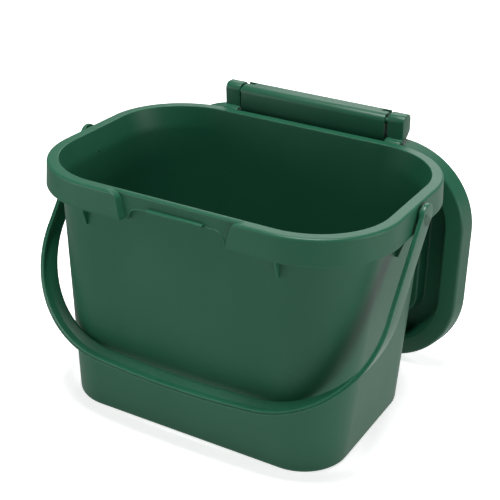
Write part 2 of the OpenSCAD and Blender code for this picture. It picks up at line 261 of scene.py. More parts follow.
def prism(name: str, outline: Path2, low: float, high: float, bevel: float = 0.0) -> bpy.types.Object:
    """Stands an outline in [Y, Z] up along X.

    Args:
        name: Name of the object.
        outline: The outline's points.
        low: X of one end.
        high: X of the other end.
        bevel: Rounding of the sharp edges.

    Returns:
        The new object.
    """
    solid = bmesh.new()
    ends = [[solid.verts.new((x, y, z)) for y, z in outline] for x in (low, high)]
    for end in ends:
        solid.faces.new(end)
    for at in range(len(outline)):
        after = (at + 1) % len(outline)
        solid.faces.new((ends[0][at], ends[0][after], ends[1][after], ends[1][at]))
    bmesh.ops.recalc_face_normals(solid, faces=solid.faces)
    if bevel:
        sharp = [edge for edge in solid.edges if edge.calc_face_angle(0) > SMOOTH_ANGLE]
        shape = {"segments": 3, "profile": 0.5, "affect": "EDGES", "clamp_overlap": True}
        bmesh.ops.bevel(solid, geom=sharp, offset=bevel, **shape)
    return from_bmesh(name, solid)


def lathe(name: str, profile: Path2, centre: Vector, side: int = 1) -> bpy.types.Object:
    """Turns a profile round a line along X.

    Args:
        name: Name of the object.
        profile: Points as [X, radius], from one flat end to the other.
        centre: Middle of the line; its X isn't used.
        side: 1 for the right-hand piece and -1 for its mirror image.

    Returns:
        The new object.
    """
    turns = full_turn(TURN_SEGMENTS)
    spokes = [Vector((0, math.cos(turn), side * math.sin(turn))) for turn in turns]
    rings = []
    for x, radius in profile:
        middle = Vector((side * x, centre.y, centre.z))
        rings.append([middle + spoke * radius for spoke in spokes])
    return loft(name, rings)


def applied(piece: bpy.types.Object) -> bpy.types.Object:
    """Turns what a piece's modifiers make into its own mesh.

    Args:
        piece: The object.

    Returns:
        The same object, without modifiers.
    """
    graph = bpy.context.evaluated_depsgraph_get()
    mesh = bpy.data.meshes.new_from_object(piece.evaluated_get(graph))
    piece.modifiers.clear()
    piece.data = shaded(mesh)
    return piece


def carved(piece: bpy.types.Object, cutters: Iterable[bpy.types.Object]) -> bpy.types.Object:
    """Cuts solids from a piece.

    Args:
        piece: The object.
        cutters: The solids, which are removed afterwards.

    Returns:
        The same object.
    """
    for cutter in cutters:
        cut = piece.modifiers.new("cut", "BOOLEAN")
        cut.operation, cut.solver, cut.object = "DIFFERENCE", "EXACT", cutter
        applied(piece)
        bpy.data.objects.remove(cutter)
    return piece


def softened(piece: bpy.types.Object, width: float) -> bpy.types.Object:
    """Rounds the sharp edges of a piece a little.

    Args:
        piece: The object.
        width: Width of the rounding.

    Returns:
        The same object.
    """
    bevel = piece.modifiers.new("soft_edges", "BEVEL")
    bevel.width, bevel.segments, bevel.use_clamp_overlap = width, 2, True
    bevel.limit_method, bevel.angle_limit = "ANGLE", SOFT_ANGLE
    return applied(piece)


def joined(name: str, pieces: Sequence[bpy.types.Object]) -> bpy.types.Object:
    """Joins objects into one that lies at the origin.

    Args:
        name: Name of the object.
        pieces: The objects, which are removed afterwards.

    Returns:
        The new object.
    """
    whole = bmesh.new()
    for piece in pieces:
        whole.from_mesh(piece.data)
        bpy.data.objects.remove(piece)
    return from_bmesh(name, whole)


def flat_faced(piece: bpy.types.Object) -> bpy.types.Object:
    """Keeps the large faces of a piece flat in the light beside its roundings, and returns it."""
    piece.modifiers.new("flat_faces", "WEIGHTED_NORMAL").keep_sharp = True
    return piece


def poly_curve(name: str, points: Sequence[Sequence[float]], closed: bool = False) -> bpy.types.Object:
    """Makes a curve of straight stretches for a geometry tree to read.

    Args:
        name: Name of the object.
        points: Its points.
        closed: Whether the last point joins the first.

    Returns:
        The new object.
    """
    curve = bpy.data.curves.new(name, "CURVE")
    curve.dimensions = "3D"
    spline = curve.splines.new("POLY")
    spline.points.add(len(points) - 1)
    for knot, point in zip(spline.points, points):
        knot.co = (*point, 1)
    spline.use_cyclic_u = closed
    return new_object(name, curve)


# ---------------------------------------------------------------- node trees


@dataclass
class Nodes:
    """A small hand for filling a node tree.

    Args:
        tree: The tree to fill.
        inputs: Identifiers of the tree's own inputs, by name.
    """

    tree: bpy.types.NodeTree
    inputs: dict[str, str] = field(default_factory=dict)

    @classmethod
    def of(cls, owner: bpy.types.Material | bpy.types.World) -> "Nodes":
        """Returns a hand for the emptied tree of a material or a world.

        Args:
            owner: The material or the world.

        Returns:
            The hand.
        """
        owner.use_nodes = True
        owner.node_tree.nodes.clear()
        return cls(owner.node_tree)

    @classmethod
    def group(cls, name: str, kind: str, inputs: dict[str, str], outputs: dict[str, str]) -> "Nodes":
        """Starts a node group with named sockets.

        Args:
            name: Name of the group.
            kind: Shader or Geometry.
            inputs: The kind of each input, by name.
            outputs: The kind of each output, by name.

        Returns:
            A hand for the group.
        """
        nodes = cls(bpy.data.node_groups.new(name, f"{kind}NodeTree"))
        interface = nodes.tree.interface
        for side, sockets in (("INPUT", inputs), ("OUTPUT", outputs)):
            for each, what in sockets.items():
                made = interface.new_socket(name=each, in_out=side, socket_type=f"NodeSocket{what}")
                if side == "INPUT":
                    nodes.inputs[each] = made.identifier
        return nodes

    def add(self, kind: str, inputs: dict[Any, Any] | None = None, **settings: Any) -> bpy.types.Node:
        """Adds a node.

        Args:
            kind: The node's type.
            inputs: For each input, by name or number, a value or the output that feeds it.
            **settings: The node's own properties.

        Returns:
            The new node.
        """
        node = self.tree.nodes.new(kind)
        for key, value in settings.items():
            setattr(node, key, value)
        for key, value in (inputs or {}).items():
            if isinstance(value, Socket):
                self.tree.links.new(value, node.inputs[key])
            else:
                node.inputs[key].default_value = value
        return node

    def math(self, operation: str, *values: Any, clamp: bool = False) -> Socket:
        """Adds a Math node and returns its output."""
        inputs = dict(enumerate(values))
        return self.add("ShaderNodeMath", inputs, operation=operation, use_clamp=clamp).outputs[0]

    def remapped(self, value: Socket, low: float, high: float) -> Socket:
        """Returns a value as it lies between two others, smoothly from 0 to 1."""
        inputs = {"Value": value, "From Min": low, "From Max": high}
        return self.add("ShaderNodeMapRange", inputs, interpolation_type="SMOOTHSTEP").outputs["Result"]

    def graded(self, value: Socket, span: tuple[float, float], levels: tuple[float, float]) -> Socket:
        """Returns a level that goes smoothly from one to another as a value crosses a span."""
        return self.math("MULTIPLY_ADD", self.remapped(value, *span), levels[1] - levels[0], levels[0])

    def noise(self, place: Socket, scale: Any, detail: float, **more: float) -> Socket:
        """Adds a noise texture and returns its value."""
        inputs = {"Vector": place, "Scale": scale, "Detail": detail, **more}
        return self.add("ShaderNodeTexNoise", inputs).outputs[0]

    def colour_mix(self, share: Socket, first: Any, second: Any) -> Socket:
        """Returns two colours, or the outputs that feed them, mixed."""
        return self.add("ShaderNodeMix", {0: share, 6: first, 7: second}, data_type="RGBA").outputs[2]

    def shader_mix(self, share: Socket, first: Socket, second: Socket) -> Socket:
        """Returns two shaders mixed."""
        return self.add("ShaderNodeMixShader", {0: share, 1: first, 2: second}).outputs[0]

    def rays(self) -> tuple[Socket, Socket]:
        """Returns whether a ray sees the surface directly, and whether it is a reflection."""
        path = self.add("ShaderNodeLightPath").outputs
        direct = self.math("MAXIMUM", path["Is Camera Ray"], path["Is Transmission Ray"])
        return direct, path["Is Glossy Ray"]

    def shape_of(self, holder: Socket) -> Socket:
        """Returns the geometry of an object that is given to a geometry tree."""
        return self.add("GeometryNodeObjectInfo", {"Object": holder}).outputs["Geometry"]

    def put_out(self, geometry: Socket, material: Socket) -> None:
        """Ends a geometry tree: makes its instances real and gives them their material.

        Args:
            geometry: The output that feeds the tree's own.
            material: The output that holds the material.
        """
        real = self.add("GeometryNodeRealizeInstances", {"Geometry": geometry}).outputs[0]
        done = self.add("GeometryNodeSetMaterial", {"Geometry": real, "Material": material}).outputs[0]
        self.add("NodeGroupOutput", {"Geometry": done})


def grown_mesh(name: str, nodes: Nodes, values: dict[str, Any]) -> bpy.types.Object:
    """Runs a geometry tree and keeps its result as a plain mesh.

    Args:
        name: Name of the new object.
        nodes: The tree.
        values: Its inputs, by name. The objects among them are removed afterwards.

    Returns:
        The new object, without a modifier.
    """
    grown = new_object(name, bpy.data.meshes.new(name))
    modifier = grown.modifiers.new("grown", "NODES")
    modifier.node_group = nodes.tree
    for each, value in values.items():
        modifier[nodes.inputs[each]] = value
    applied(grown)
    for value in values.values():
        if isinstance(value, bpy.types.Object):
            bpy.data.objects.remove(value)
    return grown


# ---------------------------------------------------------------- finishes


def satin_grain_group() -> bpy.types.NodeTree:
    """Builds the surface of moulded polypropylene: fine grain, faint flow and clouding.

    Returns:
        The group. It puts out a colour, a roughness and a height that vary over the surface.
    """
    colours = {"Colour": "Color", "Cloud Colour": "Color"}
    levels = {name: "Float" for name in ("Clouding", "Roughness", "Spread", "Grain Scale")}
    puts_out = {"Colour": "Color", "Roughness": "Float", "Height": "Float"}
    nodes = Nodes.group("satin_grain", "Shader", colours | levels, puts_out)
    given = nodes.add("NodeGroupInput").outputs
    place = nodes.add("ShaderNodeTexCoord").outputs["Object"]
    upright = nodes.add("ShaderNodeMapping", {"Vector": place, "Scale": (1.0, 1.0, 0.18)}).outputs[0]
    cloud = nodes.noise(place, 16.0, 3.0, Roughness=0.55)
    flow = nodes.noise(upright, 60.0, 4.0, Distortion=0.6)
    grain = nodes.noise(place, given["Grain Scale"], 3.0, Roughness=0.6)
    shade = nodes.math("ADD", nodes.math("MULTIPLY", cloud, 0.7), nodes.math("MULTIPLY", flow, 0.3))
    amount = nodes.math("MULTIPLY", nodes.remapped(shade, 0.35, 0.68), given["Clouding"])
    colour = nodes.colour_mix(amount, given["Colour"], given["Cloud Colour"])
    swing = nodes.math("MULTIPLY", nodes.math("SUBTRACT", shade, 0.5), given["Spread"])
    rough = nodes.math("ADD", given["Roughness"], swing, clamp=True)
    nodes.add("NodeGroupOutput", {"Colour": colour, "Roughness": rough, "Height": grain})
    return nodes.tree


def handling_marks_group() -> bpy.types.NodeTree:
    """Builds fine rubbed streaks that lie in patches, as on plastic that has been handled.

    Returns:
        The group. It puts out a mask that varies over the surface.
    """
    inputs = {"Amount": "Float", "Turn": "Float"}
    nodes = Nodes.group("handling_marks", "Shader", inputs, {"Mask": "Float"})
    given = nodes.add("NodeGroupInput").outputs
    place = nodes.add("ShaderNodeTexCoord").outputs["Object"]
    angle = nodes.add("ShaderNodeCombineXYZ", {axis: given["Turn"] for axis in "XYZ"}).outputs[0]
    drawn_out = {"Vector": place, "Rotation": angle, "Scale": (26, 900, 500)}
    streaks = nodes.noise(nodes.add("ShaderNodeMapping", drawn_out).outputs[0], 1.0, 2.0)
    line = nodes.remapped(streaks, 0.66, 0.74)
    patch = nodes.remapped(nodes.noise(place, 22.0, 2.0), 0.5, 0.66)
    mask = nodes.math("MULTIPLY", nodes.math("MULTIPLY", line, patch), given["Amount"])
    nodes.add("NodeGroupOutput", {"Mask": mask})
    return nodes.tree


@dataclass(frozen=True)
class MouldedPlastic:
    """A satin polypropylene finish.

    Args:
        name: Name of the material.
        colour: Linear colour of the plastic.
        cloud: Linear colour of its paler clouding.
        clouding: How far the clouding shows, from 0 to 1.
        roughness: Mean roughness.
        spread: How much the roughness varies.
        grain_scale: Fineness of the grain.
        grain_depth: Height of the grain.
        marks: How far the handling marks show, from 0 to 1.
        marks_turn: Way that the handling marks run, in radians.
        marks_pale: Factor and lift that make the marks paler than the plastic.
        marks_rough: How much rougher the marks are.
        gloss: Level of the reflections, 0.5 being that of a bare smooth surface.
        index: Refractive index of the plastic.
    """

    name: str
    colour: tuple[float, float, float]
    cloud: tuple[float, float, float]
    clouding: float = 0.5
    roughness: float = 0.42
    spread: float = 0.18
    grain_scale: float = 1500.0
    grain_depth: float = 0.012 * MM
    marks: float = 0.25
    marks_turn: float = 0.4
    marks_pale: tuple[float, float] = (1.5, 0.02)
    marks_rough: float = 0.12
    gloss: float = 0.32
    index: float = 1.49

    def build(self, grain: bpy.types.NodeTree, marks: bpy.types.NodeTree) -> bpy.types.Material:
        """Builds the material.

        Args:
            grain: The shared group of the moulded surface.
            marks: The shared group of the handling marks.

        Returns:
            The material.
        """
        material = bpy.data.materials.new(self.name)
        nodes = Nodes.of(material)
        moulded = {
            "Colour": (*self.colour, 1),
            "Cloud Colour": (*self.cloud, 1),
            "Clouding": self.clouding,
            "Roughness": self.roughness,
            "Spread": self.spread,
            "Grain Scale": self.grain_scale,
        }
        surface = nodes.add("ShaderNodeGroup", moulded, node_tree=grain).outputs
        rubbed = {"Amount": self.marks, "Turn": self.marks_turn}
        mask = nodes.add("ShaderNodeGroup", rubbed, node_tree=marks).outputs["Mask"]
        factor, lift = self.marks_pale
        pale = tuple(min(1.0, part * factor + lift) for part in self.colour)
        rougher = nodes.math("MULTIPLY", mask, self.marks_rough)
        relief = {"Strength": 1.0, "Distance": self.grain_depth, "Height": surface["Height"]}
        plastic = {
            "Base Color": nodes.colour_mix(mask, surface["Colour"], (*pale, 1)),
            "Roughness": nodes.math("ADD", surface["Roughness"], rougher, clamp=True),
            "IOR": self.index,
            "Specular IOR Level": self.gloss,
            "Normal": nodes.add("ShaderNodeBump", relief).outputs[0],
        }
        shader = nodes.add("ShaderNodeBsdfPrincipled", plastic)
        nodes.add("ShaderNodeOutputMaterial", {"Surface": shader.outputs[0]})
        return material


@dataclass(frozen=True)
class Finishes:
    """The finishes of the three mouldings.

    Args:
        body: Finish of the body.
        lid: Finish of the lid, which is a little darker.
        handle: Finish of the handle, which is a little glossier.
    """

    body: MouldedPlastic = MouldedPlastic("body_green", (0.011, 0.088, 0.046), (0.015, 0.100, 0.054))
    lid: MouldedPlastic = MouldedPlastic(
        "lid_green", (0.010, 0.080, 0.042), (0.014, 0.092, 0.050), marks_turn=1.1
    )
    handle: MouldedPlastic = MouldedPlastic(
        "handle_green",
        (0.011, 0.090, 0.047),
        (0.015, 0.102, 0.055),
        roughness=0.34,
        marks_turn=0.1,
        gloss=0.42,
    )

    def build(self) -> dict[Piece, bpy.types.Material]:
        """Builds the materials.

        Returns:
            The materials, by moulding.
        """
        grain, marks = satin_grain_group(), handling_marks_group()
        made = {Piece.BODY: self.body, Piece.LID: self.lid, Piece.HANDLE: self.handle}
        return {piece: finish.build(grain, marks) for piece, finish in made.items()}


@dataclass
class Dresser:
    """Gives each finished piece its material, its body and its slot.

    Args:
        materials: The materials, by moulding.
    """

    materials: dict[Piece, bpy.types.Material]

    def dress(self, piece: bpy.types.Object, part: Piece, stands_for_node: bool = False) -> None:
        """Dresses one piece.

        Args:
            piece: The object, in place.
            part: The moulding that it belongs to.
            stands_for_node: Whether it replaces the moulding's node.
        """
        piece.data.materials.clear()
        piece.data.materials.append(self.materials[part])
        for face in piece.data.polygons:
            face.material_index = 0
        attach(piece, part.value)
        if stands_for_node:
            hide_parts(part.value)
        LOG.info("%s rides on %s: %d faces", piece.name, part.value, len(piece.data.polygons))


# ---------------------------------------------------------------- places that the pieces share


def joint_place(name: str) -> Vector:
    """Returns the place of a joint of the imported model."""
    return next(Vector(each["pos_m"]) for each in frame["joints"] if each["name"] == name)


@dataclass(frozen=True)
class Layout:
    """Sizes that more than one moulding uses.

    Args:
        rim_width: Width over the rim.
        rim_depth: Depth over the rim.
        rim_radius: Corner radius of the rim.
        rim_height: Height of the rim's top.
        skirt_height: Height of the skirt below the rim.
        skirt_lean: Outward lean of the skirt over its height.
        lug_span: Distance between the outer faces of the two lugs.
        lug_width: Width of each lug.
        lug_gap: Gap between each lug and the lid's bar.
        barrel_radius: Radius of the hinge barrel.
        pin_radius: Radius of the hinge pins.
        lid_setback: Distance from the hinge axis to the lid's rear edge.
        lid_seat: Gap between the closed lid and the rim.
        lid_height: Height of the lid's skirt.
        play: Play between parts that rest close together.
        hinge: A point of the lid's hinge axis.
        pivot: A point of the handle's hinge axis.
    """

    rim_width: float = 250 * MM
    rim_depth: float = 174.5 * MM
    rim_radius: float = 58.9 * MM
    rim_height: float = 175.4 * MM
    skirt_height: float = 17.8 * MM
    skirt_lean: float = 1.04 * MM
    lug_span: float = 143.2 * MM
    lug_width: float = 12.1 * MM
    lug_gap: float = 1.9 * MM
    barrel_radius: float = 4.8 * MM
    pin_radius: float = 2.25 * MM
    lid_setback: float = 14 * MM
    lid_seat: float = 0.4 * MM
    lid_height: float = 14.2 * MM
    play: float = 0.3 * MM
    hinge: Vector = field(default_factory=lambda: joint_place("lid_hinge"))
    pivot: Vector = field(default_factory=lambda: joint_place("handle_hinge"))

    @property
    def neck_height(self) -> float:
        """Height of the skirt's lower edge."""
        return self.rim_height - self.skirt_height

    @property
    def rim(self) -> Section:
        """Outline of the rim."""
        return Section(self.rim_width, self.rim_depth, self.rim_radius)

    def skirt(self, height: float) -> Section:
        """Returns the outline of the skirt at a height."""
        return self.rim.grown(self.skirt_lean * (self.rim_height - height) / self.skirt_height)

    @property
    def lug_inner(self) -> float:
        """X of the inner face of the right lug."""
        return self.lug_span / 2 - self.lug_width

    @property
    def lid_low(self) -> float:
        """Height of the closed lid's lower edge."""
        return self.rim_height + self.lid_seat

    @property
    def lid_top(self) -> float:
        """Height of the closed lid's top."""
        return self.lid_low + self.lid_height

    @property
    def lid_rear(self) -> float:
        """Y of the closed lid's rear edge."""
        return self.hinge.y - self.lid_setback

    @property
    def hang_front(self) -> float:
        """Y of the hanging lid's front face."""
        return self.hinge.y + self.hinge.z - self.lid_top

    @property
    def hang_top(self) -> float:
        """Height of the hanging lid's upper edge."""
        return self.hinge.z - self.lid_setback


# ---------------------------------------------------------------- the body


@dataclass
class CaddyBody:
    """The bucket with its rim, notch, ribs and hinge lugs.

    Args:
        layout: The shared sizes.
        base: Outline of the underside.
        neck: Outline of the walls at the skirt's lower edge.
        wall: Wall thickness.
        floor: Floor thickness.
        foot_round: Rounding along the outside of the underside.
        floor_round: Rounding between the inside walls and the floor.
        rim_land: Width of the rim's top.
        rim_thickness: Thickness of the rim's top.
        rim_round: Rounding along the rim's outer edge.
        lip_round: Rounding along the rim's inner edge.
        hem: Width and height of the roundings along the skirt's lower edge.
        hollow_gap: Least gap between the stepped-back skirt and the walls.
        notch_start: Half width of the notch at the skirt's lower edge.
        notch_lean: How far each of its ends leans outwards, up to its arc.
        notch_arc: Width and height of the arc at the top of each of its ends.
        notch_end: Width of each of its steep ends.
        notch_round: Rounding along both edges of each end.
        notch_depth: Its depth from the rim's outer edge.
        arch_half: Half width of the arched opening between its round corners.
        arch_radius: Radius of these corners.
        arch_bead: Radius of the round edge along the opening.
        arch_clear: Gap between the opening's cut and the walls behind it.
        ledge_half: Half width of the ledge.
        ledge_reach: Reach of the ledge in front of the panel.
        ledge_thickness: Thickness of the ledge.
        ledge_round: Rounding of its front edges and of its ends.
        rib_thickness: Thickness of each rib.
        rib_drop: Drop of each rib below the skirt.
        rib_x: Distance of the front and rear ribs from the middle.
        rib_web: Side view of a rib, in shares of its reach and its drop.
        rib_root: How far each rib reaches into the walls, as a share of their thickness.
        side_rib_drop: Drop of the longer rib on each side.
        side_rib_ahead: Distance of this rib in front of the pivot.
        pin_root: Depth of each pin's root in its lug.
        pin_length: Length of each pin beyond its lug.
        arm_drop: Drop of each lug's arm below the rim's top.
        lug_front: Thickness of each lug's head in front of its pin.
        lug_crown: Height of each lug's head above the hinge barrel.
        lug_back: Reach of each lug behind the hinge axis.
        lug_clear: Clearance between each lug and the lid as it swings past.
        lug_round: Rounding along the edges of each lug's faces.
    """

    layout: Layout
    base: Section = Section(208 * MM, 140 * MM, 33 * MM, -1.4 * MM)
    neck: Section = Section(230 * MM, 160.6 * MM, 52 * MM)
    wall: float = 2.2 * MM
    floor: float = 2.5 * MM
    foot_round: float = 3 * MM
    floor_round: float = 6 * MM
    rim_land: float = 7.9 * MM
    rim_thickness: float = 2.2 * MM
    rim_round: float = 1.8 * MM
    lip_round: float = 0.7 * MM
    hem: float = 0.8 * MM
    hollow_gap: float = 0.45 * MM
    notch_start: float = 37.6 * MM
    notch_lean: float = 2.8 * MM
    notch_arc: tuple[float, float] = (8.5 * MM, 5 * MM)
    notch_end: float = 1 * MM
    notch_round: float = 0.45 * MM
    notch_depth: float = 4.3 * MM
    arch_half: float = 27 * MM
    arch_radius: float = 8.2 * MM
    arch_bead: float = 0.7 * MM
    arch_clear: float = 0.2 * MM
    ledge_half: float = 20.3 * MM
    ledge_reach: float = 2.6 * MM
    ledge_thickness: float = 2 * MM
    ledge_round: tuple[float, float] = (0.8 * MM, 0.3 * MM)
    rib_thickness: float = 1.5 * MM
    rib_drop: float = 13.5 * MM
    rib_x: float = 70 * MM
    rib_web: tuple[tuple[float, float], ...] = (
        (-0.05, -1.0),
        (0.18, -1.0),
        (0.74, 0.0),
        (0.86, 0.22),
        (-0.05, 0.22),
    )
    rib_root: float = 0.55
    side_rib_drop: float = 19 * MM
    side_rib_ahead: float = 7.3 * MM
    pin_root: float = 1.8 * MM
    pin_length: float = 8 * MM
    arm_drop: float = 1.8 * MM
    lug_front: float = 0.9 * MM
    lug_crown: float = 0.4 * MM
    lug_back: float = 9.6 * MM
    lug_clear: float = 1.2 * MM
    lug_round: float = 0.5 * MM

    @property
    def panel_y(self) -> float:
        """Y of the notch's panel, as a positive distance from the middle."""
        return self.layout.rim_depth / 2 - self.notch_depth

    def walls(self, height: float) -> Section:
        """Returns the outline of the walls at a height below the skirt."""
        return self.base.blended(self.neck, height / self.layout.neck_height)

    def flare(self, part: float) -> Section:
        """Returns the outline inside the walls between the neck, at 0, and the rim's opening, at 1."""
        return self.neck.grown(-self.wall).blended(self.layout.rim.grown(-self.rim_land), part)

    def notch_edge(self, height: float) -> float:
        """Finds how wide the notch is.

        Args:
            height: Height at which it is measured.

        Returns:
            Its half width.
        """
        up = height - self.layout.neck_height
        width, rise = self.notch_arc
        straight = self.layout.skirt_height - rise
        bent = min(max((up - straight) / rise, 0.0), 1.0)
        outwards = width * (1 - math.sqrt(1 - bent * bent))
        return self.notch_start + self.notch_lean * min(up / straight, 1.0) + outwards

    @cached_property
    def notch_profile(self) -> Path2:
        """One end of the notch as [distance outwards from its middle, share of the step back]."""
        half, depth, soft = self.notch_end / 2, self.notch_depth, self.notch_round
        far = half + 2 * soft
        corners = [(-far, depth, 0), (-half, depth, soft), (half, 0, soft), (far, 0, 0)]
        return [(across, step / depth) for across, step in rounded_path(corners)]

    def stepped(self, across: float) -> float:
        """Finds how far the rim steps back near one end of the notch.

        Args:
            across: Distance outwards from the middle of this end.

        Returns:
            The share of the whole step.
        """
        profile = self.notch_profile
        if across <= profile[0][0]:
            return 1.0
        for (near, share), (far, after) in zip(profile, profile[1:]):
            if across <= far:
                return share + (after - share) * (across - near) / (far - near)
        return 0.0

    def stations(self, edge: float, middle_steps: int = 8) -> list[float]:
        """Spaces the points along the rim's front, closely at the ends of the notch.

        Args:
            edge: Half width of the notch.
            middle_steps: Number of stretches on each side of the middle.

        Returns:
            X of the points, from left to right.
        """
        end = [edge + across for across, _ in self.notch_profile]
        flat = self.layout.rim_width / 2 - self.layout.rim_radius
        right = [end[0] * step / middle_steps for step in range(1, middle_steps)] + end
        right += [end[-1] + (flat - end[-1]) * part for part in (0.08, 0.3, 0.65)]
        return [-x for x in reversed(right)] + [0.0] + right

    def plain(self, section: Section, height: float) -> Ring:
        """Returns a ring without the step back, of as many points as the notched ones."""
        return section.ring(height, self.stations(self.notch_start))

    def notched(
        self, section: Section, height: float, wider: float = 0.0, limit: float = math.inf
    ) -> Ring:
        """Makes one ring of the rim, stepped back along the notch.

        Args:
            section: The ring's outline.
            height: Height of the ring.
            wider: How much wider than the notch the step is at each end.
            limit: The most that the ring steps back.

        Returns:
            The ring's points.
        """
        edge = self.notch_edge(height) + wider
        ring = section.ring(height, self.stations(edge))
        lean = (self.layout.skirt(height).depth - self.layout.rim_depth) / 2
        depth = min(self.notch_depth + lean, limit)
        for point in ring:
            if point.y < 0:
                point.y += depth * self.stepped(abs(point.x) - edge)
        return ring

    def outer_rings(self) -> list[Ring]:
        """Draws the rings from the underside up the outside of the walls, to below the rim's top.

        Returns:
            The rings, in order.
        """
        foot, low = self.foot_round, self.layout.neck_height
        under = self.layout.rim_height - self.rim_thickness
        rings = []
        for turn in quarter_turn(FILLET_STEPS):
            height = foot * (1 - math.cos(turn))
            rings.append(self.plain(self.walls(height).grown(foot * (math.sin(turn) - 1)), height))
        for part in (0.1, 0.3, 0.5, 0.7, 0.85, 1.0):
            height = foot + (low - foot) * part
            rings.append(self.plain(self.walls(height), height))
        for part in (0.3, 0.6, 0.9):
            rings.append(self.plain(self.flare(part).grown(self.wall), low + (under - low) * part))
        hidden = self.stations(self.notch_edge(under) + self.wall)
        return [*rings, self.flare(1.0).grown(self.wall).ring(under, hidden)]

    def skirt_rings(self) -> list[Ring]:
        """Draws the rings down inside the skirt, round its lower edge and up to the rim's top.

        Returns:
            The rings, in order.
        """
        lay, wall, hem = self.layout, self.wall, self.hem
        low, top = lay.neck_height, lay.rim_height
        rings = []
        for part in (1.0, 0.66, 0.33, 0.03):
            height = low + (top - self.rim_thickness - low) * part
            inner = lay.skirt(height).grown(-wall)
            free = inner.depth / 2 - self.flare(part).grown(wall).depth / 2
            rings.append(self.notched(inner, height, wall, free - self.hollow_gap))
        inside = ((hem / 3 - wall, hem / 3, wall), (hem - wall, 0, wall))
        for out, up, wider in (*inside, (-hem, 0, 0), (-hem / 3, hem / 3, 0)):
            rings.append(self.notched(lay.skirt(low).grown(out), low + up, wider))
        for step in range(SKIRT_STEPS + 1):
            height = low + hem + (lay.skirt_height - hem - self.rim_round) * step / SKIRT_STEPS
            rings.append(self.notched(lay.skirt(height), height))
        for turn in quarter_turn(FILLET_STEPS + 1)[1:]:
            height = top - self.rim_round * (1 - math.sin(turn))
            out = self.rim_round * (math.cos(turn) - 1)
            rings.append(self.notched(lay.skirt(height).grown(out), height))
        return rings

    def inner_rings(self) -> list[Ring]:
        """Draws the rings from the rim's opening down the inside of the walls to the floor.

        Returns:
            The rings, in order.
        """
        low, top, lip = self.layout.neck_height, self.layout.rim_height, self.lip_round
        stations = self.stations(self.notch_edge(top))
        rings = []
        for turn in quarter_turn(FILLET_STEPS - 1):
            opening = self.layout.rim.grown(lip * (1 - math.sin(turn)) - self.rim_land)
            rings.append(opening.ring(top - lip * (1 - math.cos(turn)), stations))
        for part in (0.9, 0.6, 0.3, 0.0):
            rings.append(self.plain(self.flare(part), low + (top - lip - low) * part))
        bottom = self.floor + self.floor_round
        for part in (0.85, 0.65, 0.45, 0.25, 0.1):
            height = bottom + (low - bottom) * part
            rings.append(self.plain(self.walls(height).grown(-self.wall), height))
        for turn in quarter_turn(2 * FILLET_STEPS):
            height = self.floor + self.floor_round * (1 - math.sin(turn))
            inset = self.wall + self.floor_round * (1 - math.cos(turn))
            rings.append(self.plain(self.walls(height).grown(-inset), height))
        return rings

    def arch_line(self) -> Path2:
        """Returns the upper edge of the arched opening in [X, Z], from right to left."""
        low, half, radius = self.layout.neck_height, self.arch_half, self.arch_radius
        return arc(half, low, radius, 0, 90) + arc(-half, low, radius, 90, 180)

    def arch_cutter(self) -> bpy.types.Object:
        """Builds the solid that cuts the arched opening under the notch's panel.

        Returns:
            The new object.
        """
        lay, radius = self.layout, self.arch_radius
        low, side = lay.neck_height, self.arch_half + radius
        near = -self.panel_y - 2 * self.notch_depth
        parts = (0.0, radius / lay.skirt_height)
        neck, high = (-self.flare(part).depth / 2 - self.wall - self.arch_clear for part in parts)
        front, rear = [], []
        for x, z in ((-side, low - radius), *reversed(self.arch_line()), (side, low - radius)):
            front.append(Vector((x, near, z)))
            rear.append(Vector((x, neck + (high - neck) * max(z - low, 0) / radius, z)))
        return loft("arch", [front, rear])

    def arch_edge(self) -> bpy.types.Object:
        """Builds the round edge that runs along the arched opening.

        Returns:
            The new object.
        """
        line, turns = self.arch_line(), full_turn(BEAD_SEGMENTS)
        back = Vector((0, 1, 0))
        rings = []
        for before, (x, z), after in zip([line[0], *line], line, [*line[1:], line[-1]]):
            along = Vector((after[0] - before[0], 0, after[1] - before[1])).normalized()
            across = back.cross(along)
            middle = Vector((x, self.arch_bead / 2 - self.panel_y, z))
            spokes = [across * math.cos(turn) + back * math.sin(turn) for turn in turns]
            rings.append([middle + spoke * self.arch_bead for spoke in spokes])
        return loft("arch_edge", rings)

    def ledge(self) -> bpy.types.Object:
        """Builds the ledge across the panel.

        Returns:
            The new object.
        """
        front, rear = -self.panel_y - self.ledge_reach, self.wall / 2 - self.panel_y
        low = self.layout.neck_height + self.arch_radius
        high = low + self.ledge_thickness
        edge, end = self.ledge_round
        corners = [(front, low, edge), (rear, low, 0), (rear, high, 0), (front, high, edge)]
        return prism("ledge", rounded_path(corners, closed=True), -self.ledge_half, self.ledge_half, end)

